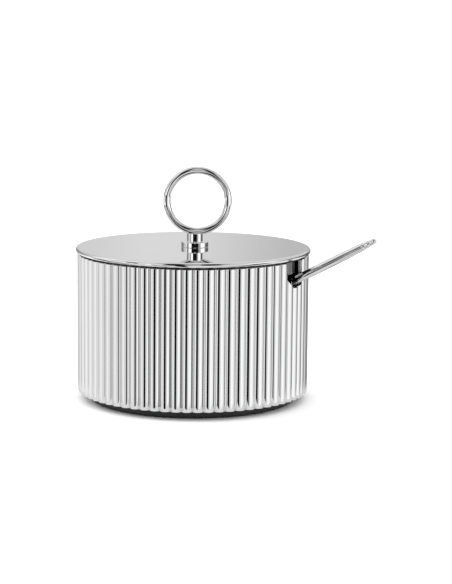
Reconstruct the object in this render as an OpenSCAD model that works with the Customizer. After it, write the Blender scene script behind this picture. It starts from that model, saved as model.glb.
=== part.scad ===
// Lidded sugar bowl with a fluted steel body, a ring knob and a spoon that leans out of a slot.
// The bowl stands on the XY plane with its axis along +Z; the front is towards -Y.

/* [Bowl] */
// Radius over the crests of the flutes
crest_r = 50; // [45:0.5:60]
// Number of flutes round the body
flute_count = 67; // [60:1:74]
// Radius of each half-round flute
flute_r = 2.45; // [2.4:0.05:2.8]
// Height of the fluted shell above the table
shell_top = 63.3; // [55:0.1:80]
// Height of the shell's lower edge above the table
shell_bottom = 3.8; // [2.5:0.1:6]
// Inner radius of the fluted shell
shell_inner_r = 48; // [43:0.1:48.1]
// Wall thickness of the inner liner
liner_wall = 0.6; // [0.5:0.05:1]
// Thickness of the liner's floor
liner_floor = 0.8; // [0.6:0.1:2]
// Radius of the rounded corner between the liner's floor and wall
liner_corner_r = 4; // [2:0.5:8]

/* [Slot] */
// Flutes between the front and the middle of the slot
slot_flutes_from_front = 11.5; // [8.5:1:14.5]
// Width of the slot
slot_w = 14.2; // [10:0.1:16]
// Depth of the slot below the shell's upper edge
slot_depth = 11.1; // [9:0.1:14]
// Radius of the slot's lower corners
slot_corner_r = 6.2; // [3:0.1:6.5]
// Clearance of the liner's slot round the shell's slot
liner_slot_gap = 0.15; // [0.05:0.05:0.4]

/* [Base] */
// Radius of the black base
base_r = 44.8; // [40:0.1:46]
// Rounding of the base's lower edge
base_edge_r = 0.8; // [0.3:0.1:1.2]
// Radius of the non-slip pad under the base
pad_r = 42; // [30:0.5:43]
// Thickness of the non-slip pad
pad_t = 1.3; // [0.8:0.1:2]
// Height of the base's edge above the table
base_lift = 0.3; // [0.1:0.1:0.6]
// Height of the plug that closes the shell's lower end
plug_h = 1.2; // [0.8:0.1:3]
// Clearance between the plug and the shell
plug_gap = 0.3; // [0.1:0.1:0.5]

/* [Lid] */
// Radius of the lid plate
lid_r = 50.7; // [50.2:0.1:52]
// Thickness of the lid plate, whose edge is fully rounded
lid_t = 2.1; // [1.5:0.1:3]
// Height of the shadow gap between the shell and the lid
lid_gap = 0.8; // [0.6:0.1:1.5]
// Outer radius of the collar that centres the lid
collar_r = 46.4; // [42:0.1:46.8]
// Wall thickness of the collar
collar_wall = 0.7; // [0.5:0.1:1.5]
// Depth of the collar below the lid plate
collar_depth = 6.8; // [4:0.1:7]
// Outer radius of the cushion ring under the lid
cushion_r = 48.2; // [47.5:0.1:48.3]
// Thickness of the cushion ring
cushion_t = 0.5; // [0.3:0.1:0.6]

/* [Knob] */
// Sideways distance of the knob from the lid's middle
knob_x = 0.65; // [-1:0.05:1]
// Sideways distance of the ring from the middle of its neck
ring_x = 1.05; // [-1.2:0.05:1.2]
// Outside diameter of the knob's ring
ring_od = 29.5; // [24:0.5:36]
// Thickness of the ring's round wire
ring_wire_d = 3.15; // [2.4:0.05:4]
// Radius of the disc under the knob
disc_r = 5.85; // [5:0.05:8]
// Thickness of that disc
disc_t = 2.3; // [1.5:0.1:3]
// Rounding of the disc's edge
disc_edge_r = 0.5; // [0.2:0.05:0.7]
// Radius of the knob's neck
neck_r = 3.4; // [3:0.05:4]
// Depth of the seat in which the ring is brazed to the neck
ring_seat = 0.9; // [0.5:0.05:1.2]
// Height of the neck above the disc
neck_h = 3.7; // [2:0.1:6]
// Diameter of the screw that holds the knob
screw_d = 4; // [3:0.5:4]
// Length of the screw's shank in the knob
screw_grip = 3.2; // [2:0.1:3.4]
// Radius of the screw's pan head
screw_head_r = 3.6; // [3:0.1:5]
// Height of the screw's head
screw_head_h = 1.6; // [1.2:0.1:2.5]
// Width of the slot across the screw's head
drive_w = 1; // [0.6:0.1:1.4]
// Depth of the slot across the screw's head
drive_depth = 0.8; // [0.5:0.1:1.2]
// Clearance of the screw's holes in the lid and the washer, across their diameter
hole_gap = 0.3; // [0.1:0.05:0.6]
// Radius of the washer under the lid
washer_r = 5; // [4.5:0.1:7]
// Thickness of that washer
washer_t = 0.8; // [0.5:0.1:1.5]

/* [Spoon] */
// Sideways distance of the spoon from the slot's middle
spoon_offset = 2.2; // [0:0.1:3]
// Slope of the handle above the horizontal
handle_slope = 28.2; // [20:0.1:35]
// Distance of the handle's bend from the bowl's axis, along the slot
bend_r = 46.4; // [44:0.1:46.4]
// Height of the handle's bend above the table
bend_z = 54.15; // [54:0.05:55]
// Length of the handle from its bend to its rounded end
handle_len = 43.1; // [36:0.1:60]
// Diameter of the handle at its thickest
handle_d = 3.7; // [3:0.1:3.8]
// Diameter of the handle at its bend
handle_bend_d = 3; // [2.4:0.1:3.2]
// Diameter of the handle where its tip begins
handle_tip_d = 3.3; // [2.8:0.1:3.4]
// Diameter of the rounded end
handle_end_d = 2.4; // [2:0.1:2.6]
// Length over which the handle thickens from its bend
thicken_len = 7; // [4:0.5:10]
// Length of the even middle part
even_len = 17; // [10:0.5:20]
// Length of the narrowing tip
tip_len = 6.6; // [6.2:0.1:8]
// Distance of the first turned groove from the handle's end
groove_from_end = 3.3; // [3:0.1:3.6]
// Distance between the two grooves
groove_pitch = 2.5; // [1.5:0.1:2.5]
// Width of each groove
groove_w = 0.7; // [0.4:0.1:1.2]
// Depth of each groove
groove_depth = 0.25; // [0.15:0.05:0.4]
// Thickness of the flat stem inside the bowl
stem_t = 0.9; // [0.8:0.1:1]
// Width of the flat stem
stem_w = 2.6; // [2.4:0.1:3]
// Radius of the spoon's scoop at its rim
scoop_rim_r = 12; // [9:0.5:13]
// Depth of the scoop
scoop_depth = 6.5; // [5:0.1:8]
// Wall thickness of the scoop
scoop_wall = 0.9; // [0.7:0.1:1.2]
// Distance of the stem's foot inside the scoop's rim
foot_in = 0.6; // [0.3:0.1:0.9]
// Distance of the stem's foot below the scoop's rim
foot_down = 1.2; // [0.8:0.1:2]
// Clearance between the scoop and the liner's floor
scoop_lift = 1.5; // [1:0.1:3]
// Distance of the scoop's middle from the bowl's axis
scoop_r_pos = 26.5; // [20:0.5:30]

/* [Hidden] */
$fn = 96;
steel = "silver";
black = [0.08, 0.08, 0.09];
fit_gap = 0.05;
cut = 1;
slot_reach = 12;
rim_lip = 0.1;
bore_spare = 0.2;
braze_gap = 0.02;
flute_pitch = 360 / flute_count;
flute_centre_r = crest_r - flute_r;
slot_angle = slot_flutes_from_front * flute_pitch;
slot_z = shell_top - slot_depth;
liner_r = shell_inner_r - fit_gap;
liner_inner_r = liner_r - liner_wall;
liner_z = shell_bottom + plug_h;
floor_z = liner_z + liner_floor;
rim_t = lid_gap - cushion_t;
rim_r = cushion_r + rim_lip;
plug_r = shell_inner_r - plug_gap;
lid_z = shell_top + lid_gap;
lid_top = lid_z + lid_t;
disc_top = lid_top + disc_t;
neck_top = disc_top + neck_h;
ring_r = (ring_od - ring_wire_d) / 2;
ring_z = neck_top - ring_seat + ring_od / 2;
scoop_sphere_r = (scoop_rim_r * scoop_rim_r + scoop_depth * scoop_depth) / (2 * scoop_depth);
scoop_rim_z = floor_z + scoop_lift + scoop_depth;
scoop_sphere_z = scoop_rim_z - scoop_depth + scoop_sphere_r;
stem_foot = [scoop_r_pos + scoop_rim_r - foot_in, scoop_rim_z - foot_down];
taper_z = thicken_len + even_len;
tip_z = handle_len - tip_len;
end_r = handle_end_d / 2;

// Radius of the handle's narrowing tip at a distance from the end
function tip_radius(d) = end_r + (handle_tip_d / 2 - end_r) * (d - end_r) / (tip_len - end_r);

// Turns a shape drawn along +X so that it points out through the slot
module towards_slot() {
    rotate([0, 0, slot_angle - 90]) children();
}

// The same for the spoon, which lies beside the slot's middle
module spoon_place() {
    towards_slot() translate([0, spoon_offset, 0]) children();
}

// Outline of the fluted shell, a row of round flutes with a sharp valley at the front
module fluted_outline() {
    for (i = [0 : flute_count - 1]) {
        rotate((i + 0.5) * flute_pitch - 90) translate([flute_centre_r, 0]) circle(r = flute_r);
    }
}

// U-shaped slot, open at the rim; grow widens it on every side
module slot_cut(grow) {
    half_w = slot_w / 2 + grow;
    corner_r = slot_corner_r + grow;
    towards_slot()
    translate([collar_r - slot_reach / 2, 0, slot_z - grow])
    rotate([90, 0, 90])
    linear_extrude(height = slot_reach) {
        for (side = [-1, 1]) {
            translate([side * (half_w - corner_r), corner_r]) circle(r = corner_r);
        }
        translate([corner_r - half_w, 0]) square([2 * (half_w - corner_r), corner_r]);
        translate([-half_w, corner_r]) square([2 * half_w, slot_depth + cut]);
    }
}

// Flat disc whose rim is fully rounded
module bullnose_disc(r, t) {
    rotate_extrude() {
        square([r - t / 2, t]);
        intersection() {
            translate([r - t / 2, t / 2]) circle(r = t / 2);
            square([r, t]);
        }
    }
}

// The place of the knob, a little beside the lid's middle
module knob_place() {
    translate([knob_x, 0, 0]) children();
}

// Circle of the knob's ring, standing in the XZ plane
module ring_torus(wire_r) {
    translate([ring_x, 0, ring_z])
    rotate([90, 0, 0])
    rotate_extrude()
    translate([ring_r, 0])
    circle(r = wire_r);
}

// Fluted outer skin of the bowl, open at both ends and notched by the slot
module outer_shell() {
    color(steel)
    difference() {
        translate([0, 0, shell_bottom])
        linear_extrude(height = shell_top - shell_bottom)
        difference() {
            fluted_outline();
            circle(r = shell_inner_r);
        }
        slot_cut(0);
    }
}

// Smooth cup inside the shell, whose rim covers the shell's upper edge
module inner_liner() {
    color(steel)
    difference() {
        rotate_extrude() difference() {
            union() {
                translate([0, liner_z]) square([liner_r, shell_top + rim_t - liner_z]);
                translate([0, shell_top]) square([rim_r, rim_t]);
            }
            translate([0, floor_z]) square([liner_inner_r - liner_corner_r, shell_top + cut - floor_z]);
            translate([0, floor_z + liner_corner_r]) square([liner_inner_r, shell_top - floor_z]);
            translate([liner_inner_r - liner_corner_r, floor_z + liner_corner_r])
            circle(r = liner_corner_r);
        }
        slot_cut(liner_slot_gap);
    }
}

// Black base that plugs into the shell and lifts it off the table
module base_plate() {
    color(black)
    rotate_extrude() difference() {
        union() {
            translate([0, base_lift + base_edge_r]) square([base_r, shell_bottom - base_lift - base_edge_r]);
            translate([0, base_lift]) square([base_r - base_edge_r, base_edge_r]);
            translate([base_r - base_edge_r, base_lift + base_edge_r]) circle(r = base_edge_r);
            translate([0, shell_bottom]) square([plug_r, liner_z - shell_bottom]);
        }
        square([pad_r + fit_gap, pad_t]);
    }
}

// Non-slip pad on which the bowl stands
module foot_pad() {
    color([0.05, 0.05, 0.05])
    cylinder(r = pad_r, h = pad_t);
}

// Flat round lid with a fully rounded edge
module lid_plate() {
    color(steel)
    difference() {
        translate([0, 0, lid_z]) bullnose_disc(lid_r, lid_t);
        knob_place() translate([0, 0, lid_z - cut]) cylinder(d = screw_d + hole_gap, h = lid_t + 2 * cut);
    }
}

// Locating collar welded under the lid
module lid_collar() {
    color(steel)
    translate([0, 0, lid_z - collar_depth])
    difference() {
        cylinder(r = collar_r, h = collar_depth);
        translate([0, 0, -cut]) cylinder(r = collar_r - collar_wall, h = collar_depth + 2 * cut);
    }
}

// Black cushion ring on which the lid rests
module lid_cushion() {
    color(black)
    translate([0, 0, lid_z - cushion_t])
    difference() {
        cylinder(r = cushion_r, h = cushion_t);
        translate([0, 0, -cut]) cylinder(r = collar_r + fit_gap, h = cushion_t + 2 * cut);
    }
}

// Disc and neck of the knob, drilled for its screw and hollowed for the ring
module knob_base() {
    color(steel)
    knob_place()
    difference() {
        union() {
            translate([0, 0, lid_top]) cylinder(r = disc_r, h = disc_edge_r);
            translate([0, 0, lid_top + disc_edge_r]) rotate_extrude() {
                square([disc_r, disc_t - 2 * disc_edge_r]);
                square([disc_r - disc_edge_r, disc_t - disc_edge_r]);
                translate([disc_r - disc_edge_r, disc_t - 2 * disc_edge_r]) circle(r = disc_edge_r);
            }
            translate([0, 0, disc_top]) cylinder(r = neck_r, h = neck_h);
        }
        translate([0, 0, lid_top - cut]) cylinder(d = screw_d + 2 * fit_gap, h = screw_grip + bore_spare + cut);
        ring_torus(ring_wire_d / 2 + braze_gap);
    }
}

// Finger ring of round wire
module knob_ring() {
    color(steel) knob_place() ring_torus(ring_wire_d / 2);
}

// Screw that holds the knob from below, with a slot in its head
module knob_screw() {
    head_z = lid_z - washer_t - screw_head_h;
    drive_len = 2 * (screw_head_r + cut);
    color(steel)
    knob_place()
    difference() {
        union() {
            translate([0, 0, head_z]) cylinder(r = screw_head_r, h = screw_head_h);
            translate([0, 0, lid_z - washer_t]) cylinder(d = screw_d, h = washer_t + lid_t + screw_grip);
        }
        translate([-drive_len / 2, -drive_w / 2, head_z - cut]) cube([drive_len, drive_w, cut + drive_depth]);
    }
}

// Washer between the screw's head and the lid
module knob_washer() {
    color(steel)
    knob_place()
    translate([0, 0, lid_z - washer_t])
    difference() {
        cylinder(r = washer_r, h = washer_t);
        translate([0, 0, -cut]) cylinder(d = screw_d + hole_gap, h = washer_t + 2 * cut);
    }
}

// Round bar of the handle, along +Z from its bend, with a narrowing tip and two turned grooves
module handle_bar() {
    difference() {
        union() {
            sphere(d = handle_bend_d);
            cylinder(d1 = handle_bend_d, d2 = handle_d, h = thicken_len);
            translate([0, 0, thicken_len]) cylinder(d = handle_d, h = even_len);
            translate([0, 0, taper_z]) cylinder(d1 = handle_d, d2 = handle_tip_d, h = tip_z - taper_z);
            translate([0, 0, tip_z]) cylinder(r1 = handle_tip_d / 2, r2 = end_r, h = tip_len - end_r);
            translate([0, 0, handle_len - end_r]) sphere(r = end_r);
        }
        for (d = [groove_from_end, groove_from_end + groove_pitch]) {
            translate([0, 0, handle_len - d - groove_w / 2])
            difference() {
                cylinder(r = handle_d, h = groove_w);
                translate([0, 0, -cut]) cylinder(r = tip_radius(d) - groove_depth, h = groove_w + 2 * cut);
            }
        }
    }
}

// Handle of the spoon, which leans out through the slot and ends flat against the stem
module spoon_handle() {
    color(steel)
    spoon_place()
    difference() {
        translate([bend_r, 0, bend_z]) rotate([0, 90 - handle_slope, 0]) handle_bar();
        translate([bend_r - handle_d, -handle_d, bend_z - handle_d])
        cube([handle_d + stem_t / 2, 2 * handle_d, 2 * handle_d]);
    }
}

// Flat stem that drops inside the bowl, as a side view pulled to its width
module stem_strip() {
    top = bend_z + handle_bend_d / 2;
    bottom = bend_z - handle_bend_d / 2;
    half_t = stem_t / 2;
    rotate([90, 0, 0])
    translate([0, 0, -stem_w / 2])
    linear_extrude(height = stem_w)
    polygon([
        [bend_r - half_t, top], [bend_r + half_t, top], [bend_r + half_t, bottom],
        [stem_foot[0] + half_t, stem_foot[1]], [stem_foot[0] - half_t, stem_foot[1]],
        [bend_r - half_t, bottom]
    ]);
}

// Round scoop of the spoon, an open cap of a hollow sphere
module scoop_cup() {
    translate([scoop_r_pos, 0, scoop_sphere_z])
    difference() {
        sphere(r = scoop_sphere_r);
        sphere(r = scoop_sphere_r - scoop_wall);
        translate([0, 0, scoop_depth]) cube([4, 4, 2] * scoop_sphere_r, center = true);
    }
}

// Stem and scoop, formed as one piece; the stem ends inside the scoop's wall
module spoon_scoop() {
    color(steel)
    spoon_place() {
        difference() {
            stem_strip();
            translate([scoop_r_pos, 0, scoop_sphere_z]) sphere(r = scoop_sphere_r - scoop_wall);
        }
        scoop_cup();
    }
}

outer_shell();
inner_liner();
base_plate();
foot_pad();
lid_plate();
lid_collar();
lid_cushion();
knob_base();
knob_ring();
knob_screw();
knob_washer();
spoon_handle();
spoon_scoop();
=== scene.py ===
"""Looks of a fluted steel sugar bowl with a lid, a ring knob and a spoon that leans out of a slot.

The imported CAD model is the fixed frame: the bowl stands on the XY plane, its axis is +Z and its
front is towards -Y. All lengths are in metres, and most are written in millimetres times MM.
"""
import math

import bmesh
import bpy
from mathutils import Matrix, Vector

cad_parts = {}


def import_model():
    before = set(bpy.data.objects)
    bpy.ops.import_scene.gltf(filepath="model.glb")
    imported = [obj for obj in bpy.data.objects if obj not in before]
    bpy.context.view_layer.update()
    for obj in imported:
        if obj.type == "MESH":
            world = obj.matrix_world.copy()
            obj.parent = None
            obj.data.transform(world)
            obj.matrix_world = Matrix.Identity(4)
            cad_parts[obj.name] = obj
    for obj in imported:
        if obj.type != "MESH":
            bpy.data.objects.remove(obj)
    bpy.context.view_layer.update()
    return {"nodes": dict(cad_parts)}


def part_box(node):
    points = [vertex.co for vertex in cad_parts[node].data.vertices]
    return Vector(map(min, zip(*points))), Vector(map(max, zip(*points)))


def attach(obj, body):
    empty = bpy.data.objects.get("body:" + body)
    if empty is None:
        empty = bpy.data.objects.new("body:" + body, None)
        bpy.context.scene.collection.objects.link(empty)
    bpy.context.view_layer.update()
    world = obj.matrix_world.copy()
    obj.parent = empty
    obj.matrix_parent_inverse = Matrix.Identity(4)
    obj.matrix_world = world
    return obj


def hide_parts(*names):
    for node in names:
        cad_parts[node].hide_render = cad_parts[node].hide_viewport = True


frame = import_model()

MM = 0.001
TAU = 2 * math.pi

TINY = 1e-7  # shorter than any real length, in metres
SAME = 1e-9  # two computed places this near each other are one

# Shell
FLUTES = 67
FLUTE_R = 2.45 * MM
FLUTE_STEPS = 20
SHELL_INNER_R = 48 * MM
SHELL_EASE = 0.14 * MM
SLOT_FLUTES_FROM_FRONT = 11.5
SLOT_W = 14.2 * MM
SLOT_DEPTH = 11.1 * MM
SLOT_CORNER_R = 6.2 * MM
SLOT_MOUTH_R = 0.5 * MM
SLOT_ANGLE = SLOT_FLUTES_FROM_FRONT * TAU / FLUTES

# Turned parts
LID_SEGMENTS = 384
KNOB_SEGMENTS = 128
SCOOP_SEGMENTS = 96
LID_HOLE_R = 2.15 * MM
BASE_FOOT_R = 44.8 * MM
PAD_GAP = 0.05 * MM
GRIP_RINGS = 5
GRIP_W = 0.7 * MM
GRIP_DEPTH = 0.35 * MM
KNOB_DISC_T = 2.3 * MM
KNOB_NECK_R = 3.4 * MM
COLLAR_WALL = 0.7 * MM
CUSHION_INNER_R = 46.45 * MM
CUSHION_LIP = 0.25 * MM

# Spoon, in its own upright plane
SPOON_OFFSET = 2.2 * MM
SPOON_SLOPE = math.radians(28.2)
BEND = Vector((46.4 * MM, 0, 54.15 * MM))
HANDLE_LENGTH = 43.1 * MM
HANDLE_BEND_R = 1.5 * MM
HANDLE_R = 1.85 * MM
HANDLE_SWELL = 7 * MM
TAPER_START = 24 * MM
TIP_START = 36.5 * MM
TIP_R = 1.65 * MM
END_R = 1.2 * MM
GROOVES_FROM_END = (5.8 * MM, 3.3 * MM)
GROOVE_HALF_W = 0.35 * MM
GROOVE_DEPTH = 0.25 * MM
STEM_T = 0.9 * MM
STEM_W = 2.6 * MM
STEM_EDGE_R = 0.28 * MM
STEM_FOOT = Vector((37.9 * MM, 0, 12.6 * MM))
SCOOP_R = 12 * MM
SCOOP_DEPTH = 6.5 * MM
SCOOP_WALL = 0.9 * MM
SCOOP_X = 26.5 * MM

# Camera: place in metres, angles in radians, lens in millimetres
CAMERA_PLACE = Vector((0, -0.83906, 0.18145))
CAMERA_YAW = 0.01704
CAMERA_PITCH = 0.15961
CAMERA_ROLL = -0.00904
CAMERA_LENS = 120.8

# Surroundings as reflections see them, in rings one above another. A stop is (angle, brightness), with the
# angle in degrees from the front towards +X.
DOWN_STOPS = ((-180, 1.00), (-121, 1.00), (-117, 0.02), (-100, 0.02), (-95, 0.60), (-76, 0.62),
              (-72, 0.66), (-62, 0.66), (-57, 0.02), (-42, 0.02), (-37, 0.66), (-20, 0.66), (-17, 0.02),
              (-8, 0.02), (-5, 0.85), (12, 0.80), (24, 0.66), (58, 0.66), (62, 0.02), (80, 0.02),
              (85, 0.60), (104, 0.62), (108, 1.00), (148, 1.00), (152, 0.02), (170, 0.02), (175, 0.60),
              (180, 0.62))
FLOOR_STOPS = ((-180, 0.35), (-140, 0.35), (-125, 0.75), (-110, 0.90), (-96, 0.75), (-88, 0.92),
               (-60, 0.96), (-43, 1.05), (-39, 0.006), (-3, 0.006), (1, 0.72), (6, 0.62), (18, 0.58),
               (24, 1.05), (70, 1.02), (84, 0.84), (100, 0.60), (112, 0.42), (124, 0.32), (132, 0.15),
               (160, 0.15), (170, 0.35), (180, 0.35))
LOW_STOPS = ((-180, 0.67), (-178.9, 0.69), (-176.5, 0.60), (-168, 0.55), (-160, 0.28), (-114, 0.22),
             (-108, 0.62), (-76, 0.72), (-70, 1.35), (-31, 1.35), (-27, 0.006), (27, 0.006), (31, 0.25),
             (50, 0.60), (56, 1.35), (84, 1.35), (89, 0.80), (94, 0.66), (106, 0.12), (150, 0.14),
             (158, 0.45), (176, 0.48), (177.8, 0.49), (178.4, 0.56), (179.3, 0.64), (180, 0.67))
HIGH_STOPS = ((-180, 0.72), (-175, 0.68), (-165, 0.58), (-138, 0.55), (-128, 0.70), (-120, 0.90),
              (-97, 0.95), (-90, 0.62), (-80, 0.48), (-60, 0.24), (-50, 0.60), (-30, 0.72), (-26, 0.01),
              (-9, 0.01), (-7, 0.66), (7, 0.70), (9, 0.01), (26, 0.01), (30, 0.72), (60, 0.60),
              (90, 0.70), (135, 0.62), (180, 0.72))
SKY_STOPS = ((-180, 0.72), (-132, 0.62), (-122, 1.00), (-96, 1.00), (-88, 0.74), (-48, 0.70),
             (-38, 0.03), (-16, 0.03), (-10, 0.28), (10, 0.30), (16, 0.03), (38, 0.03), (48, 0.70),
             (84, 0.60), (135, 0.70), (180, 0.72))
TOP_STOPS = ((-180, 0.74), (-90, 0.66), (0, 0.70), (90, 0.78), (180, 0.74))
# Dark gaps in the low ring and in the edge of the floor, in degrees
LOW_GAP = (-67, -56)
EDGE_GAP = (-58, -47)
GAP_LEVEL = 0.01
GAP_SOFT = 2
# Where each ring gives way to the next: heights of directions of length 1
FLOOR_DEPTH = (-0.235, -0.225)
EDGE_DEPTH = (-0.140, -0.132)
HORIZON = (-0.004, 0.004)
LOW_TOP = (0.205, 0.225)
HIGH_TOP = (0.52, 0.62)
SKY_TOP = (0.950, 0.975)
GLOSS_GAIN = 1.13

# Floor, card (left, right, front, low, high) and light
FLOOR_LEVELS = (0.94, 1.35)
FLOOR_REACH = 60
NEAR_FLOOR_R = 0.072
NEAR_FLOOR_SEGMENTS = 96
NEAR_FLOOR_LIFT = 0.00015
LEFT_CARD = (-0.100, -0.0415, -0.075, -0.030, 0.060)
LEFT_CARD_LEVEL = 0.85
KEY_PLACE = (-1.0, -0.05, 0.9)
KEY_TARGET = (0, 0, 0.03)
KEY_SIZE = (0.6, 0.6)
KEY_POWER = 2.5


# ---------------------------------------------------------------- mesh helpers

def polar(angle, radius, z=0.0):
    """Point at an angle from the front (-Y) towards +X."""
    return Vector((radius * math.sin(angle), -radius * math.cos(angle), z))


def rounded(corners, closed=True, steps=6, guard=0.04 * MM):
    """Outline through corners (r, z, fillet), each turned by an arc.

    Each flat gets a support point near both of its ends, which keeps smooth shading flat on it.
    """
    stretches = []
    count = len(corners)
    for i, (r, z, fillet) in enumerate(corners):
        here = Vector((r, z))
        if fillet <= 0 or (not closed and i in (0, count - 1)):
            stretches.append([here])
            continue
        before = (Vector(corners[i - 1][:2]) - here).normalized()
        after = (Vector(corners[(i + 1) % count][:2]) - here).normalized()
        half = before.angle(after) / 2
        centre = here + (before + after).normalized() * (fillet / math.sin(half))
        first = here + before * (fillet / math.tan(half)) - centre
        last = here + after * (fillet / math.tan(half)) - centre
        start = math.atan2(first.y, first.x)
        turn = (math.atan2(last.y, last.x) - start + math.pi) % TAU - math.pi
        arc = [start + turn * k / steps for k in range(steps + 1)]
        stretches.append([centre + Vector((math.cos(a), math.sin(a))) * fillet for a in arc])
    outline = []
    for i, stretch in enumerate(stretches):
        outline += stretch
        if not closed and i == count - 1:
            break
        here, there = stretch[-1], stretches[(i + 1) % count][0]
        flat = (there - here).length
        if flat > 4 * guard:
            outline += [here.lerp(there, guard / flat), there.lerp(here, guard / flat)]
    return [(p.x, p.y) for p in outline]


def lathe(outline, closed, segments=256):
    """Vertices and faces of an outline (r, z) turned about the Z axis."""
    verts, faces, rows = [], [], []
    for r, z in outline:
        if r < TINY:
            rows.append([len(verts)] * segments)
            verts.append(Vector((0, 0, z)))
            continue
        rows.append(list(range(len(verts), len(verts) + segments)))
        verts += [polar(TAU * k / segments, r, z) for k in range(segments)]
    add_strips(faces, rows, closed_rows=closed)
    return verts, faces


def add_strips(faces, rows, closed_rows=False, closed_ring=True):
    """Joins each row of vertex numbers to the next with quads, dropping doubled corners."""
    pairs = list(zip(rows, rows[1:]))
    if closed_rows:
        pairs.append((rows[-1], rows[0]))
    for low, high in pairs:
        count = len(low) if closed_ring else len(low) - 1
        for i in range(count):
            j = (i + 1) % len(low)
            face = list(dict.fromkeys((low[i], low[j], high[j], high[i])))
            if len(face) > 2:
                faces.append(face)


def piece(name, verts, faces, body, nodes, slot, material, sharp=38):
    """A named mesh piece that stands for CAD nodes and rides on their body."""
    mesh = bpy.data.meshes.new(name)
    mesh.from_pydata([tuple(v) for v in verts], [], faces)
    mesh.validate()
    outward(mesh)
    mesh.shade_smooth()
    mesh.set_sharp_from_angle(angle=math.radians(sharp))
    mesh.materials.append(material)
    obj = bpy.data.objects.new(name, mesh)
    bpy.context.scene.collection.objects.link(obj)
    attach(obj, body)
    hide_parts(*nodes)
    return obj


def outward(mesh):
    """Turns every face of a closed mesh outwards."""
    work = bmesh.new()
    work.from_mesh(mesh)
    bmesh.ops.remove_doubles(work, verts=work.verts, dist=TINY)
    bmesh.ops.recalc_face_normals(work, faces=work.faces)
    work.to_mesh(mesh)
    work.free()


# ---------------------------------------------------------------- materials

class Shader:
    """A Principled material that is built node by node."""

    def __init__(self, name, metallic):
        self.material = bpy.data.materials.new(name)
        self.material.use_nodes = True
        self.tree = self.material.node_tree
        self.bsdf = self.tree.nodes["Principled BSDF"]
        self.bsdf.inputs["Metallic"].default_value = metallic
        self.bsdf.inputs["IOR"].default_value = 1.5
        self.place = self.add("ShaderNodeTexCoord").outputs["Object"]

    def add(self, kind, **values):
        """A new node with its properties set."""
        node = self.tree.nodes.new(kind)
        for key, value in values.items():
            setattr(node, key, value)
        return node

    def link(self, source, target):
        """Joins an output to an input."""
        self.tree.links.new(source, target)

    def math(self, operation, *sources):
        """Result of an operation on numbers or outputs."""
        node = self.add("ShaderNodeMath", operation=operation)
        for socket, source in zip(node.inputs, sources):
            if isinstance(source, (int, float)):
                socket.default_value = source
            else:
                self.link(source, socket)
        return node.outputs[0]

    def noise(self, scale, detail=3.0, stretch=(1, 1, 1), place=None, distortion=0.0):
        """Noise whose grains are 1 / scale metres, stretched along each axis."""
        mapping = self.add("ShaderNodeMapping")
        mapping.inputs["Scale"].default_value = [1 / s for s in stretch]
        self.link(place or self.place, mapping.inputs["Vector"])
        node = self.add("ShaderNodeTexNoise")
        node.inputs["Scale"].default_value = scale
        node.inputs["Detail"].default_value = detail
        node.inputs["Distortion"].default_value = distortion
        self.link(mapping.outputs["Vector"], node.inputs["Vector"])
        return node.outputs["Fac"]

    def span(self, source, low, high, start=0.3, end=0.7):
        """Maps a noise to the range low to high."""
        node = self.add("ShaderNodeMapRange")
        for key, value in (("From Min", start), ("From Max", end), ("To Min", low), ("To Max", high)):
            node.inputs[key].default_value = value
        self.link(source, node.inputs["Value"])
        return node.outputs["Result"]

    def tint(self, source, dark, light, start=0.3, end=0.7):
        """Colours a noise from dark to light."""
        ramp = self.add("ShaderNodeValToRGB")
        ramp.color_ramp.elements[0].position = start
        ramp.color_ramp.elements[1].position = end
        ramp.color_ramp.elements[0].color = (*dark, 1)
        ramp.color_ramp.elements[1].color = (*light, 1)
        self.link(source, ramp.inputs["Fac"])
        self.link(ramp.outputs["Color"], self.bsdf.inputs["Base Color"])

    def rough(self, source):
        """Uses an output as the roughness."""
        self.link(source, self.bsdf.inputs["Roughness"])

    def bump(self, source, height):
        """Uses a noise as relief of a height in metres."""
        node = self.add("ShaderNodeBump")
        node.inputs["Distance"].default_value = height
        node.inputs["Strength"].default_value = 1.0
        self.link(source, node.inputs["Height"])
        self.link(node.outputs["Normal"], self.bsdf.inputs["Normal"])

    def round_place(self, reach):
        """Coordinates that run round the axis: turn, radius and height, in metres at that reach."""
        split = self.add("ShaderNodeSeparateXYZ")
        self.link(self.place, split.inputs[0])
        turn = self.math("MULTIPLY", self.math("ARCTAN2", split.outputs[0], split.outputs[1]), reach)
        squares = [self.math("MULTIPLY", side, side) for side in split.outputs[:2]]
        radius = self.math("SQRT", self.math("ADD", *squares))
        join = self.add("ShaderNodeCombineXYZ")
        for source, socket in zip((turn, radius, split.outputs[2]), join.inputs):
            self.link(source, socket)
        return join.outputs[0]


def polished(name, light=0.81, dark=0.79, rough=(0.015, 0.05), grain=(1, 1, 1)):
    """Mirror-polished steel: faint wipe marks in the gloss and a trace of polishing grain."""
    shader = Shader(name, metallic=1.0)
    wipe = shader.noise(55, detail=4, distortion=0.6)
    shader.tint(wipe, (dark, dark, dark + 0.004), (light, light, light + 0.006))
    fine = shader.noise(2600, detail=2, stretch=grain)
    both = shader.math("ADD", shader.math("MULTIPLY", wipe, 0.7), shader.math("MULTIPLY", fine, 0.3))
    shader.rough(shader.span(both, *rough))
    shader.bump(fine, 0.0002 * MM)
    return shader.material


def brushed(name, light=0.72, dark=0.60, rough=(0.22, 0.36), reach=0.047, grain=(40, 1, 1)):
    """Satin steel with fine lines that run round the axis."""
    shader = Shader(name, metallic=1.0)
    around = shader.round_place(reach)
    lines = shader.noise(3200, detail=4, stretch=grain, place=around)
    cloud = shader.noise(60, detail=3)
    shader.tint(lines, (dark, dark, dark + 0.01), (light, light, light + 0.01))
    both = shader.math("ADD", shader.math("MULTIPLY", lines, 0.6), shader.math("MULTIPLY", cloud, 0.4))
    shader.rough(shader.span(both, *rough))
    shader.bump(lines, 0.006 * MM)
    return shader.material


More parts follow.
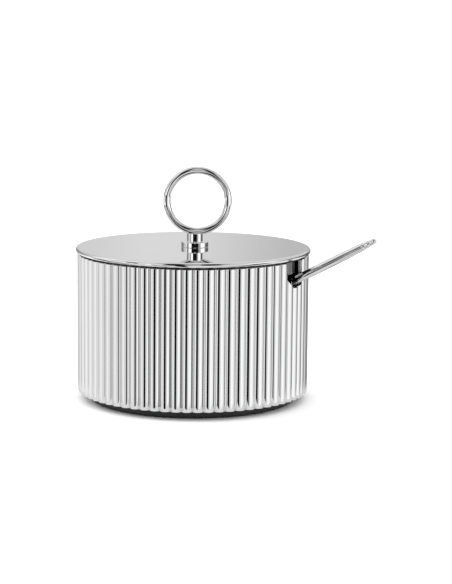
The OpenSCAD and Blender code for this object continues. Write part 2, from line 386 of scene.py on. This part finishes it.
def moulded(name, dark, light, rough, grain=4200, height=0.02 * MM):
    """Moulded black plastic or rubber with a fine spark-eroded grain."""
    shader = Shader(name, metallic=0.0)
    grain_noise = shader.noise(grain, detail=2)
    cloud = shader.noise(90, detail=3)
    shader.tint(cloud, dark, light)
    shader.rough(shader.span(grain_noise, *rough))
    shader.bump(grain_noise, height)
    return shader.material


# ---------------------------------------------------------------- fluted shell

def shell_columns():
    """Columns round the shell: angle from the slot's middle, radius, plan normal's angle, and if a valley."""
    pitch = TAU / FLUTES
    centre_r = SHELL_CREST - FLUTE_R
    half = pitch / 2
    valley_r = centre_r * math.cos(half) + math.sqrt(FLUTE_R ** 2 - (centre_r * math.sin(half)) ** 2)
    lean = math.atan2(valley_r * math.sin(half), valley_r * math.cos(half) - centre_r)
    columns = []
    for k in range(FLUTES):
        middle = k * pitch
        for step in range(FLUTE_STEPS):
            beta = -lean + 2 * lean * step / FLUTE_STEPS
            out = centre_r + FLUTE_R * math.cos(beta)
            side = FLUTE_R * math.sin(beta)
            angle = (middle + math.atan2(side, out) + math.pi) % TAU - math.pi
            columns.append({"angle": angle, "radius": math.hypot(out, side), "turn": middle + beta,
                            "valley": step == 0})
    return columns


def outer_at(side):
    """Depth and plan normal of the fluted surface at a sideways distance from the slot's middle."""
    pitch = TAU / FLUTES
    best = None
    for k in range(-4, 5):  # the slot is narrower than nine flutes
        cx, cy = (SHELL_CREST - FLUTE_R) * math.sin(k * pitch), (SHELL_CREST - FLUTE_R) * math.cos(k * pitch)
        if abs(side - cx) < FLUTE_R:
            depth = cy + math.sqrt(FLUTE_R ** 2 - (side - cx) ** 2)
            if best is None or depth > best[0]:
                best = (depth, ((side - cx) / FLUTE_R, (depth - cy) / FLUTE_R))
    return best


def inner_at(side):
    """Depth and plan normal of the shell's round inner face, in the same way."""
    depth = math.sqrt(SHELL_INNER_R ** 2 - side ** 2)
    return depth, (-side / SHELL_INNER_R, -depth / SHELL_INNER_R)


def slot_frame(side, depth, z):
    """World point from the slot's sideways distance, its depth from the axis and a height."""
    out = polar(SLOT_ANGLE, 1)
    across = Vector((math.cos(SLOT_ANGLE), math.sin(SLOT_ANGLE), 0))
    return out * depth + across * side + Vector((0, 0, z))


def slot_edge(side, z, grow):
    """Point and inward normal on the slot's true edge for a column of the grown slot."""
    sign = 1 if side > 0 else -1
    flat = SLOT_W / 2 - SLOT_CORNER_R
    bottom = SHELL_TOP - SLOT_DEPTH
    if abs(side) <= flat:
        return (side, bottom), (0, -1)
    if z > bottom + SLOT_CORNER_R - SAME:
        mouth = SHELL_TOP - SLOT_MOUTH_R
        if z <= mouth + SAME and abs(abs(side) - SLOT_W / 2 - grow) < SAME:
            return (sign * SLOT_W / 2, z), (sign, 0)
        cx, cz = SLOT_W / 2 + SLOT_MOUTH_R, mouth
        away = Vector((abs(side) - cx, z - cz))
        if abs(side) >= cx:
            return (side, SHELL_TOP), (0, -1)
        away.normalize()
        return (sign * (cx + away.x * SLOT_MOUTH_R), cz + away.y * SLOT_MOUTH_R), (-sign * away.x, -away.y)
    psi = math.asin(min(1, (abs(side) - flat) / (SLOT_CORNER_R + grow)))
    x, y = math.sin(psi), -math.cos(psi)
    point = (sign * (flat + SLOT_CORNER_R * x), bottom + SLOT_CORNER_R + SLOT_CORNER_R * y)
    return point, (sign * x, y)


def shell_sides():
    """Sideways places of the columns in the slot, on its edge and on its rounded mouth, for one half."""
    grow = SHELL_EASE
    flat = SLOT_W / 2 - SLOT_CORNER_R
    inside = [flat + (SLOT_CORNER_R + grow) * math.sin(math.radians(a)) for a in range(10, 90, 8)]
    inside += [flat * f for f in (0.5, 1)]
    edge = SLOT_W / 2 + grow
    mouth_r = SLOT_MOUTH_R - grow
    beside = [edge + mouth_r * (1 - math.cos(math.radians(a))) for a in (30, 60, 90)]
    return inside, edge, beside


def shell_mesh():
    """The fluted wall with its slot, every edge eased, as one closed skin."""
    inside, edge, beside = shell_sides()
    flat = SLOT_W / 2 - SLOT_CORNER_R
    slot_reach, true_reach = 0.4, 0.25  # angles on each side of the slot
    margin, twin, crowded = 0.05 * MM, 0.02 * MM, 0.12 * MM
    fixed = [0] + [s * v for v in inside + [edge] + beside for s in (-1, 1)]
    columns = []
    for c in shell_columns():
        side = c["radius"] * math.sin(c["angle"])
        near = abs(c["angle"]) < slot_reach
        if near and abs(side) < beside[-1] + margin:
            close = min(abs(side - f) for f in fixed)
            if not (c["valley"] and close > twin) and (close < crowded or abs(side) > edge):
                continue
            c["side"] = side
        columns.append(c)
    for side in fixed:
        depth, normal = outer_at(side)
        columns.append({"angle": math.atan2(side, depth), "radius": math.hypot(side, depth),
                        "turn": math.atan2(normal[0], normal[1]), "side": side, "valley": False})
    columns.sort(key=lambda c: c["angle"])
    first = next(i for i, c in enumerate(columns) if abs(c.get("side", 1) + edge) < SAME)
    columns = columns[first:] + columns[:first]
    last = next(i for i, c in enumerate(columns) if abs(c.get("side", 1) - edge) < SAME)

    knee = SHELL_TOP - SLOT_DEPTH + SLOT_CORNER_R
    low_rows, high_rows = 10, 5
    guard = 0.05 * MM
    ease = SHELL_EASE
    verts, faces = [], []

    def top_of(i):
        """Heights at which a column's lower and upper parts end."""
        side = columns[i].get("side")
        if side is None or abs(side) > edge + SAME:
            reach = 0 if side is None else abs(side) - SLOT_W / 2 - SLOT_MOUTH_R
            if side is None or reach >= 0:
                return knee, SHELL_TOP - ease
            mouth_r = SLOT_MOUTH_R - ease
            return knee, SHELL_TOP - SLOT_MOUTH_R + math.sqrt(max(0, mouth_r ** 2 - reach ** 2))
        if abs(abs(side) - edge) < SAME:
            return knee, SHELL_TOP - SLOT_MOUTH_R
        if abs(side) <= flat:
            return SHELL_TOP - SLOT_DEPTH - ease, None
        drop = math.sqrt((SLOT_CORNER_R + ease) ** 2 - (abs(side) - flat) ** 2)
        return knee - drop, None

    def plan(i, outer, inset=0.0, side=None):
        """Plan point of a column on the outer or inner surface, set in by a distance."""
        c = columns[i]
        side = c.get("side") if side is None else side
        if side is None and abs(c["angle"]) < true_reach:
            side = c["radius"] * math.sin(c["angle"])
        if side is not None:
            depth, normal = (outer_at if outer else inner_at)(side)
            return slot_frame(side - normal[0] * inset, depth - normal[1] * inset, 0)
        if outer:
            return polar(SLOT_ANGLE + c["angle"], c["radius"]) - polar(SLOT_ANGLE + c["turn"], inset)
        return polar(SLOT_ANGLE + c["angle"], SHELL_INNER_R + inset)

    count = len(columns)
    grids = {}
    for outer in (True, False):
        grid = []
        for i in range(count):
            low_top, high_top = top_of(i)
            start = SHELL_BOTTOM + ease
            heights = [start, start + guard]
            heights += [start + (low_top - start) * k / (low_rows - 2) for k in range(1, low_rows - 2)]
            heights += [low_top - guard, low_top]
            if high_top is not None:
                step = (high_top - low_top) / (high_rows - 1)
                heights += [low_top + step * k for k in range(1, high_rows - 1)]
                heights += [high_top - guard, high_top]
            base = plan(i, outer)
            grid.append(list(range(len(verts), len(verts) + len(heights))))
            verts += [base + Vector((0, 0, h)) for h in heights]
        grids[outer] = grid
        for i in range(count):
            j = (i + 1) % count
            rows = min(len(grid[i]), len(grid[j])) - 1
            if i < last:
                rows = low_rows
            faces += [(grid[i][k], grid[j][k], grid[j][k + 1], grid[i][k + 1]) for k in range(rows)]

    loop = [(i % count, low_rows + high_rows) for i in range(last, count + 1)]
    loop += [(0, k) for k in range(low_rows + high_rows - 1, low_rows, -1)]
    loop += [(i, low_rows) for i in range(0, last + 1)]
    loop += [(last, k) for k in range(low_rows + 1, low_rows + high_rows)]

    def edge_point(i, row, outer, turn):
        """Point on the eased edge: turn 0 is on the surface and a quarter turn on the edge's own face."""
        back = ease * (1 - math.sin(turn))
        inset = ease * (1 - math.cos(turn))
        side = columns[i].get("side")
        z = verts[grids[True][i][row]].z
        if side is None:
            return plan(i, outer, inset) + Vector((0, 0, SHELL_TOP - back))
        (ts, tz), (ns, nz) = slot_edge(side, z, ease)
        return plan(i, outer, inset, ts + ns * back) + Vector((0, 0, tz + nz * back))

    quarter = [math.radians(a) for a in (30, 60, 90)]
    edge_rows = [[grids[True][i][row] for i, row in loop]]
    for outer, turns in ((True, quarter), (False, quarter[::-1])):
        for turn in turns:
            edge_rows.append(list(range(len(verts), len(verts) + len(loop))))
            verts += [edge_point(i, row, outer, turn) for i, row in loop]
    edge_rows.append([grids[False][i][row] for i, row in loop])
    add_strips(faces, edge_rows)

    foot_rows = [[grids[True][i][0] for i in range(count)]]
    for outer, turns in ((True, quarter), (False, quarter[::-1])):
        for turn in turns:
            foot_rows.append(list(range(len(verts), len(verts) + count)))
            back, inset = ease * (1 - math.sin(turn)), ease * (1 - math.cos(turn))
            verts += [plan(i, outer, inset) + Vector((0, 0, SHELL_BOTTOM + back)) for i in range(count)]
    foot_rows.append([grids[False][i][0] for i in range(count)])
    add_strips(faces, foot_rows)
    return verts, faces


# ---------------------------------------------------------------- turned parts

def lid_outline():
    """Lid plate with a fully rounded edge and the screw's hole."""
    low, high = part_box("lid_plate")
    radius = (high.x - low.x) / 2
    edge_r = (high.z - low.z) / 2 * 0.999
    return rounded([(LID_HOLE_R, low.z, 0), (radius, low.z, edge_r), (radius, high.z, edge_r),
                    (LID_HOLE_R, high.z, 0)], steps=14)


def base_outline():
    """Black base with a rounded foot, a recess for the pad and the plug that fills the shell."""
    low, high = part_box("base_plate")
    pad_low, pad_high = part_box("foot_pad")
    pad_r = (pad_high.x - pad_low.x) / 2 + PAD_GAP
    plug = (high.x - low.x) / 2
    return rounded([(0, pad_high.z, 0), (pad_r, pad_high.z, 0.1 * MM), (pad_r, low.z, 0.15 * MM),
                    (BASE_FOOT_R, low.z, 0.8 * MM), (BASE_FOOT_R, SHELL_BOTTOM, 0),
                    (plug, SHELL_BOTTOM, 0.1 * MM), (plug, high.z, 0.3 * MM), (0, high.z, 0)], closed=False)


def pad_outline():
    """Non-slip pad whose underside has shallow grip rings."""
    low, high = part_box("foot_pad")
    radius = (high.x - low.x) / 2
    corners = [(0, low.z, 0)]
    for k in range(GRIP_RINGS):
        ring = radius * (0.3 + 0.14 * k)
        corners += [(ring - GRIP_W, low.z, 0.1 * MM), (ring - GRIP_W / 2, low.z + GRIP_DEPTH, 0.1 * MM),
                    (ring + GRIP_W / 2, low.z + GRIP_DEPTH, 0.1 * MM), (ring + GRIP_W, low.z, 0.1 * MM)]
    corners += [(radius, low.z, 0.3 * MM), (radius, high.z, 0.05 * MM), (0, high.z, 0)]
    return rounded(corners, closed=False, steps=3)


def knob_outline():
    """Disc and neck of the knob."""
    low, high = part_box("knob_base")
    disc_r = (high.x - low.x) / 2
    disc_top = low.z + KNOB_DISC_T
    return rounded([(0, low.z, 0), (disc_r, low.z, 0.22 * MM), (disc_r, disc_top, 0.4 * MM),
                    (KNOB_NECK_R, disc_top, 0.22 * MM), (KNOB_NECK_R, high.z, 0.3 * MM), (0, high.z, 0)],
                   closed=False)


def knob_shift():
    """How far the knob stands beside the lid's middle."""
    low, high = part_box("knob_base")
    return Vector(((low.x + high.x) / 2, 0, 0))


def knob_mesh():
    """The knob's disc and neck in their place beside the lid's middle."""
    shift = knob_shift()
    verts, faces = lathe(knob_outline(), False, KNOB_SEGMENTS)
    return [v + shift for v in verts], faces


def lid_mesh():
    """The lid plate, with its hole under the knob."""
    shift = knob_shift()
    verts, faces = lathe(lid_outline(), True, LID_SEGMENTS)
    near_hole = LID_HOLE_R + 0.1 * MM
    return [v + shift if v.xy.length < near_hole else v for v in verts], faces


def collar_outline():
    """Collar under the lid, with a rolled lower edge."""
    low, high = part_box("lid_collar")
    radius = (high.x - low.x) / 2
    inner = radius - COLLAR_WALL
    return rounded([(inner, low.z, 0.3 * MM), (radius, low.z, 0.3 * MM), (radius, high.z, 0),
                    (inner, high.z, 0)])


def cushion_outline():
    """Soft black ring on which the lid rests, lip over the liner's rim; its black is partly painted gap
    shade.
    """
    low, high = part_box("lid_cushion")
    radius = (high.x - low.x) / 2
    lip_in, lip_out, lip_z = radius + 0.15 * MM, radius + 0.6 * MM, low.z - CUSHION_LIP
    return rounded([(CUSHION_INNER_R, low.z, 0.1 * MM), (lip_in, low.z, 0.02 * MM), (lip_in, lip_z, 0.1 * MM),
                    (lip_out, lip_z, 0.1 * MM), (lip_out, high.z, 0.05 * MM),
                    (CUSHION_INNER_R, high.z, 0.05 * MM)])


def ring_mesh():
    """Finger ring of round wire, standing in the XZ plane."""
    low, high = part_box("knob_ring")
    wire = (high.y - low.y) / 2
    middle = (low + high) / 2
    reach = (high.z - low.z) / 2 - wire
    verts, rows, faces = [], [], []
    around, section = 192, 36
    for i in range(around):
        a = TAU * i / around
        out = Vector((math.sin(a), 0, -math.cos(a)))
        rows.append(list(range(len(verts), len(verts) + section)))
        for j in range(section):
            b = TAU * j / section
            verts.append(middle + out * (reach + wire * math.cos(b)) + Vector((0, wire * math.sin(b), 0)))
    add_strips(faces, rows, closed_rows=True)
    return verts, faces


# ---------------------------------------------------------------- spoon

def spoon_matrix():
    """From the spoon's own plane, +X outwards along the slot, to the shared frame."""
    turn = Matrix.Rotation(SLOT_ANGLE - math.pi / 2, 4, "Z")
    return turn @ Matrix.Translation((0, SPOON_OFFSET, 0))


def smooth(low, high, t):
    """Eased step from low to high while t goes from 0 to 1."""
    t = min(1, max(0, t))
    return low + (high - low) * t * t * (3 - 2 * t)


def handle_outline():
    """Distances from the bend and radii of the handle, a slim bar with two turned grooves near its end."""
    taper = TIP_START - TAPER_START
    stations = [(s * MM, smooth(HANDLE_BEND_R, HANDLE_R, s * MM / HANDLE_SWELL))
                for s in (1.6, 2.6, 3.8, 5, 6.2, 7.4)]
    stations += [(s * MM, HANDLE_R) for s in (12, 18, 24)]
    stations += [(s * MM, smooth(HANDLE_R, TIP_R, (s * MM - TAPER_START) / taper))
                 for s in (26, 28, 30, 32, 34, 35.6)]

    def cone(s):
        """Radius of the narrowing tip."""
        return END_R + (TIP_R - END_R) * (HANDLE_LENGTH - END_R - s) / (HANDLE_LENGTH - END_R - TIP_START)

    half_edge = 0.25 * MM
    stations += [(TIP_START - half_edge, TIP_R), (TIP_START + half_edge, cone(TIP_START + half_edge))]
    lip = 0.1 * MM
    for middle in (HANDLE_LENGTH - from_end for from_end in GROOVES_FROM_END):
        floor = cone(middle) - GROOVE_DEPTH
        walls = []
        for side in (-1, 1):
            rim = middle + side * GROOVE_HALF_W
            walls.append([(rim + side * 2 * lip, cone(rim + side * 2 * lip)),
                          (rim + side * lip, cone(rim + side * lip)),
                          (rim + side * 0.2 * lip, cone(rim) - 0.5 * lip),
                          (rim - side * 0.3 * lip, floor + 0.6 * lip), (rim - side * lip, floor)])
        stations += walls[0] + walls[1][::-1]
    for k in range(9):
        a = math.radians(90 * k / 8)
        stations.append((HANDLE_LENGTH - END_R + END_R * math.sin(a), END_R * math.cos(a)))
    return stations


def handle_mesh():
    """Round bar of the handle; its lower end is cut upright, where the stem drops away."""
    axis = Vector((math.cos(SPOON_SLOPE), 0, math.sin(SPOON_SLOPE)))
    up = Vector((-math.sin(SPOON_SLOPE), 0, math.cos(SPOON_SLOPE)))
    across = Vector((0, 1, 0))
    place = spoon_matrix()
    section = 48
    verts, rows, faces = [], [], []

    def ring(points):
        rows.append(list(range(len(verts), len(verts) + section)))
        verts.extend(place @ p for p in points)

    cut_x = BEND.x + STEM_T / 2
    ease = 0.25 * MM
    for shrink, lift in ((0.55, 0), (0.97, 0), (1, 0), (1, 1)):
        points = []
        radius = (HANDLE_BEND_R if lift else HANDLE_BEND_R - ease) * shrink
        for j in range(section):
            a = TAU * j / section
            off = up * (radius * math.cos(a)) + across * (radius * math.sin(a))
            s = (cut_x - BEND.x - off.x) / axis.x + lift * ease
            points.append(BEND + axis * s + off)
        ring(points)
    for s, radius in handle_outline():
        if radius < TINY:
            rows.append([len(verts)] * section)
            verts.append(place @ (BEND + axis * s))
            continue
        points = []
        for j in range(section):
            a = TAU * j / section
            points.append(BEND + axis * s + up * (radius * math.cos(a)) + across * (radius * math.sin(a)))
        ring(points)
    middle = sum((verts[k] for k in rows[0]), Vector()) / section
    rows.insert(0, [len(verts)] * section)
    verts.append(middle)
    add_strips(faces, rows)
    return verts, faces


def stem_path():
    """Centre line of the flat stem: down from the bend, round a soft elbow and on to the scoop."""
    top = Vector((BEND.x, 0, BEND.z + HANDLE_BEND_R))
    elbow = Vector((BEND.x, 0, BEND.z - HANDLE_BEND_R))
    points = [top, top.lerp(elbow, 0.12), top.lerp(elbow, 0.4)]
    reach = 1.4 * MM
    before = elbow + (top - elbow).normalized() * reach
    after = elbow + (STEM_FOOT - elbow).normalized() * reach
    for k in range(6):
        t = k / 5
        points.append(before * (1 - t) ** 2 + elbow * 2 * t * (1 - t) + after * t ** 2)
    points += [after.lerp(STEM_FOOT, t) for t in (0.1, 0.25, 0.4, 0.55, 0.7, 0.82, 0.91, 0.97, 1)]
    return points


def stem_mesh(verts, faces):
    """Adds the flat stem, a strip with rounded edges that widens where it meets the scoop."""
    place = spoon_matrix()
    path = stem_path()
    total = (path[-1] - path[0]).length
    rows = []
    corner_steps = 4
    for i, p in enumerate(path):
        ahead = (path[min(i + 1, len(path) - 1)] - path[max(i - 1, 0)]).normalized()
        face = Vector((-ahead.z, 0, ahead.x))
        t = (p - path[0]).length / total
        width = smooth(STEM_W, STEM_W * 1.5, (t - 0.75) / 0.25)
        width -= smooth(0.5 * MM, 0, t / 0.03)
        row = []
        for corner, (sx, sy) in enumerate(((1, 1), (-1, 1), (-1, -1), (1, -1))):
            for k in range(corner_steps + 1):
                a = math.radians(90 * corner + 90 * k / corner_steps)
                x = sx * (width / 2 - STEM_EDGE_R) + STEM_EDGE_R * math.cos(a)
                y = sy * (STEM_T / 2 - STEM_EDGE_R) + STEM_EDGE_R * math.sin(a)
                row.append(len(verts))
                verts.append(place @ (p + Vector((0, 1, 0)) * x + face * y))
        rows.append(row)
    add_strips(faces, rows)
    faces.append(rows[0])
    faces.append(rows[-1][::-1])


def scoop_mesh():
    """Round scoop with a rolled rim and the stem that carries it."""
    sphere = (SCOOP_R ** 2 + SCOOP_DEPTH ** 2) / (2 * SCOOP_DEPTH)
    inner = sphere - SCOOP_WALL
    low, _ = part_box("spoon_scoop")
    centre_z = low.z + sphere
    rim_z = low.z + SCOOP_DEPTH
    steps = 26
    rim_angle = math.asin(SCOOP_R / sphere) - 0.03
    angles = [rim_angle * k / steps for k in range(steps + 1)]
    outline = [(sphere * math.sin(a), centre_z - sphere * math.cos(a)) for a in angles]
    middle_r, rim_r = (sphere + inner) / 2, SCOOP_WALL / 2
    rim_x, rim_y = middle_r * math.sin(rim_angle), centre_z - middle_r * math.cos(rim_angle)
    for k in range(1, 8):
        turn = rim_angle - math.pi / 2 + math.pi * k / 8
        outline.append((rim_x + rim_r * math.cos(turn), rim_y + rim_r * math.sin(turn)))
    outline += [(inner * math.sin(a), centre_z - inner * math.cos(a)) for a in reversed(angles)]
    verts, faces = lathe([(r, min(z, rim_z)) for r, z in outline], closed=False, segments=SCOOP_SEGMENTS)
    place = spoon_matrix() @ Matrix.Translation((SCOOP_X, 0, 0))
    verts = [place @ v for v in verts]
    stem_mesh(verts, faces)
    return verts, faces


# ---------------------------------------------------------------- stage

def camera():
    """Camera at the photograph's viewing angle."""
    data = bpy.data.cameras.new("camera")
    data.lens = CAMERA_LENS
    data.sensor_width = 36
    data.clip_start, data.clip_end = 0.01, 100
    obj = bpy.data.objects.new("camera", data)
    bpy.context.scene.collection.objects.link(obj)
    ahead = Vector((math.sin(CAMERA_YAW) * math.cos(CAMERA_PITCH),
                    math.cos(CAMERA_YAW) * math.cos(CAMERA_PITCH), -math.sin(CAMERA_PITCH)))
    right = Vector((math.cos(CAMERA_YAW), -math.sin(CAMERA_YAW), 0))
    up = right.cross(ahead)
    c, s = math.cos(CAMERA_ROLL), math.sin(CAMERA_ROLL)
    axes = (right * c - up * s, right * s + up * c, -ahead)
    obj.matrix_world = Matrix.Translation(CAMERA_PLACE) @ Matrix(axes).transposed().to_4x4()
    bpy.context.scene.camera = obj


def value_at(stops, angle):
    """Brightness that the stops give at an angle."""
    for (start, first), (end, second) in zip(stops, stops[1:]):
        if start <= angle <= end:
            return first + (second - first) * (angle - start) / (end - start)


def with_gap(stops, start, end):
    """The same stops with a dark gap between two angles."""
    outside = (start - GAP_SOFT, end + GAP_SOFT)
    kept = [stop for stop in stops if not outside[0] <= stop[0] <= outside[1]]
    sides = [(angle, value_at(stops, angle)) for angle in outside]
    return sorted(kept + sides + [(start, GAP_LEVEL), (end, GAP_LEVEL)])


def world():
    """Even white light, while reflections see a studio of light and dark bands by direction."""
    made = bpy.data.worlds.new("studio")
    bpy.context.scene.world = made
    made.use_nodes = True
    tree = made.node_tree

    def math_node(operation, first, second):
        """Result of an operation on numbers or outputs."""
        node = tree.nodes.new("ShaderNodeMath")
        node.operation = operation
        for socket, source in zip(node.inputs, (first, second)):
            if isinstance(source, (int, float)):
                socket.default_value = source
            else:
                tree.links.new(source, socket)
        return node.outputs[0]

    def span_node(source, start, end):
        """0 to 1 while the source goes from start to end."""
        node = tree.nodes.new("ShaderNodeMapRange")
        node.inputs["From Min"].default_value, node.inputs["From Max"].default_value = start, end
        tree.links.new(source, node.inputs["Value"])
        return node.outputs["Result"]

    def ring_of(stops):
        """Brightness all round, from stops (angle, value)."""
        ramp = tree.nodes.new("ShaderNodeValToRGB")
        elements = ramp.color_ramp.elements
        while len(elements) < len(stops):
            elements.new(0.5)
        for element, (angle, value) in zip(elements, stops):
            element.position = angle / 360 + 0.5
            element.color = (value, value, value, 1)
        tree.links.new(turn, ramp.inputs["Fac"])
        return ramp.outputs["Color"]

    def mix_node(factor, first, second):
        """Mixes two colours; None stands for white."""
        node = tree.nodes.new("ShaderNodeMix")
        node.data_type = "RGBA"
        tree.links.new(factor, node.inputs["Factor"])
        for socket, source in zip([s for s in node.inputs if s.type == "RGBA"], (first, second)):
            if source is None:
                socket.default_value = (1, 1, 1, 1)
            else:
                tree.links.new(source, socket)
        return [s for s in node.outputs if s.type == "RGBA"][0]

    place = tree.nodes.new("ShaderNodeTexCoord")
    split = tree.nodes.new("ShaderNodeSeparateXYZ")
    tree.links.new(place.outputs["Generated"], split.inputs[0])
    x, y, z = split.outputs
    around = math_node("ARCTAN2", x, math_node("MULTIPLY", y, -1))
    turn = math_node("ADD", math_node("DIVIDE", around, TAU), 0.5)
    seen = mix_node(span_node(z, *LOW_TOP), ring_of(with_gap(LOW_STOPS, *LOW_GAP)), ring_of(HIGH_STOPS))
    seen = mix_node(span_node(z, *HIGH_TOP), seen, ring_of(SKY_STOPS))
    seen = mix_node(span_node(z, *SKY_TOP), seen, ring_of(TOP_STOPS))
    below = mix_node(span_node(z, *FLOOR_DEPTH), ring_of(DOWN_STOPS), ring_of(FLOOR_STOPS))
    below = mix_node(span_node(z, *EDGE_DEPTH), below, ring_of(with_gap(FLOOR_STOPS, *EDGE_GAP)))
    seen = mix_node(span_node(z, *HORIZON), below, seen)
    path = tree.nodes.new("ShaderNodeLightPath")
    seen = mix_node(path.outputs["Is Glossy Ray"], None, seen)
    tree.links.new(seen, tree.nodes["Background"].inputs["Color"])
    gain = math_node("ADD", math_node("MULTIPLY", path.outputs["Is Glossy Ray"], GLOSS_GAIN - 1), 1)
    tree.links.new(gain, tree.nodes["Background"].inputs["Strength"])


def stage_piece(name, corners, material, kinds):
    """A flat stage piece that only the named kinds of ray see."""
    mesh = bpy.data.meshes.new(name)
    mesh.from_pydata([tuple(c) for c in corners], [], [tuple(range(len(corners)))])
    mesh.materials.append(material)
    obj = bpy.data.objects.new(name, mesh)
    bpy.context.scene.collection.objects.link(obj)
    for kind in ("camera", "diffuse", "glossy", "shadow", "transmission", "volume_scatter"):
        setattr(obj, "visible_" + kind, kind in kinds)


def floor():
    """Plain pale floor: the camera sees it brighter, and reflections see only the part near the bowl."""
    shader = Shader("pale_floor", metallic=0.0)
    shader.bsdf.inputs["Roughness"].default_value = 0.9
    shader.bsdf.inputs["Specular IOR Level"].default_value = 0.0
    path = shader.add("ShaderNodeLightPath")
    cloud = shader.span(shader.noise(3), 0.98, 1.0)
    seen = shader.math("MULTIPLY", shader.span(path.outputs["Is Camera Ray"], *FLOOR_LEVELS, 0, 1), cloud)
    shader.link(seen, shader.bsdf.inputs["Base Color"])
    far = [(x * FLOOR_REACH, y * FLOOR_REACH, 0) for x, y in ((-1, -1), (1, -1), (1, 1), (-1, 1))]
    stage_piece("floor", far, shader.material, ("camera", "diffuse", "shadow"))
    near = [polar(TAU * k / NEAR_FLOOR_SEGMENTS, NEAR_FLOOR_R, NEAR_FLOOR_LIFT)
            for k in range(NEAR_FLOOR_SEGMENTS)]
    stage_piece("near_floor", near, shader.material, ("glossy",))


def card(name, sides, level):
    """Upright card facing the bowl, from left to right and low to high at one depth, for reflections only."""
    material = bpy.data.materials.new(name)
    material.use_nodes = True
    tree = material.node_tree
    tree.nodes.clear()
    glow = tree.nodes.new("ShaderNodeEmission")
    glow.inputs["Strength"].default_value = level
    out = tree.nodes.new("ShaderNodeOutputMaterial")
    tree.links.new(glow.outputs[0], out.inputs[0])
    left, right, front, low, high = sides
    corners = [(left, front, low), (right, front, low), (right, front, high), (left, front, high)]
    stage_piece(name, corners, material, ("glossy",))


def area(name, place, target, size, power):
    """Soft rectangular light aimed at a point."""
    data = bpy.data.lights.new(name, "AREA")
    data.shape = "RECTANGLE"
    data.size, data.size_y = size
    data.energy = power
    obj = bpy.data.objects.new(name, data)
    bpy.context.scene.collection.objects.link(obj)
    obj.location = place
    obj.rotation_mode = "QUATERNION"
    obj.rotation_quaternion = (Vector(target) - Vector(place)).to_track_quat("-Z", "Y")
    obj.visible_glossy = False


# ---------------------------------------------------------------- the scene

bpy.context.scene.view_settings.view_transform = "Standard"
shell_low, shell_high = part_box("outer_shell")
SHELL_CREST = max(shell_high.x, -shell_low.y)
SHELL_BOTTOM, SHELL_TOP = shell_low.z, shell_high.z

camera()
world()
floor()
card("left_card", LEFT_CARD, LEFT_CARD_LEVEL)
area("key_light", KEY_PLACE, KEY_TARGET, KEY_SIZE, KEY_POWER)

STEEL_RIBS = polished("polished_ribs", grain=(1, 1, 30))
STEEL_LID = polished("polished_lid", rough=(0.012, 0.035))
STEEL_KNOB = polished("polished_knob", rough=(0.015, 0.045))
STEEL_SPOON = polished("polished_spoon", rough=(0.02, 0.06))
# Darker copy of the polished steel: painted shade for the collar's place inside the bowl under the lid
SHADED_COLLAR_STEEL = polished("polished_collar_painted_shade", light=0.46, dark=0.44, rough=(0.05, 0.10))
SATIN_LINER = brushed("satin_liner")
SATIN_SCREW = brushed("satin_screw", reach=0.003, grain=(6, 1, 1), rough=(0.26, 0.4))
BLACK_BASE = moulded("black_base", (0.010, 0.010, 0.011), (0.016, 0.016, 0.017), (0.32, 0.46))
RUBBER_PAD = moulded("rubber_pad", (0.012, 0.012, 0.012), (0.022, 0.022, 0.022), (0.65, 0.85), 2400,
                     0.05 * MM)
# Cushion black: partly its own rubber, partly painted shade of the dark gap between the lid and the shell's
# top
CUSHION_RUBBER_AND_GAP_SHADE = moulded("rubber_cushion_and_gap_shade", (0.010, 0.010, 0.010), (0.018, 0.018, 0.018), (0.5, 0.7), 3000)

piece("fluted_shell", *shell_mesh(), "bowl", ["outer_shell"], "polished_steel", STEEL_RIBS, sharp=45)
piece("base_disc", *lathe(base_outline(), False), "bowl", ["base_plate"], "black_plastic", BLACK_BASE)
piece("grip_pad", *lathe(pad_outline(), False), "bowl", ["foot_pad"], "black_rubber", RUBBER_PAD)
piece("lid_disc", *lid_mesh(), "lid", ["lid_plate"], "polished_steel", STEEL_LID)
# The collar's darker steel is painted shade of its recess under the lid
piece("lid_collar_ring", *lathe(collar_outline(), True), "lid", ["lid_collar"], "polished_steel",
      SHADED_COLLAR_STEEL)
# The cushion's black also stands in as painted shade for the gap under the lid
piece("lid_cushion_ring", *lathe(cushion_outline(), True), "lid", ["lid_cushion"], "black_rubber",
      CUSHION_RUBBER_AND_GAP_SHADE)
piece("knob_foot", *knob_mesh(), "lid", ["knob_base"], "polished_steel", STEEL_KNOB)
piece("finger_ring", *ring_mesh(), "lid", ["knob_ring"], "polished_steel", STEEL_KNOB)
piece("spoon_bar", *handle_mesh(), "spoon", ["spoon_handle"], "polished_steel", STEEL_SPOON)
piece("spoon_bowl", *scoop_mesh(), "spoon", ["spoon_scoop"], "polished_steel", STEEL_SPOON)

for node, material in (("inner_liner", SATIN_LINER), ("knob_screw", SATIN_SCREW),
                       ("knob_washer", SATIN_SCREW)):
    mesh = frame["nodes"][node].data
    mesh.materials.clear()
    mesh.materials.append(material)
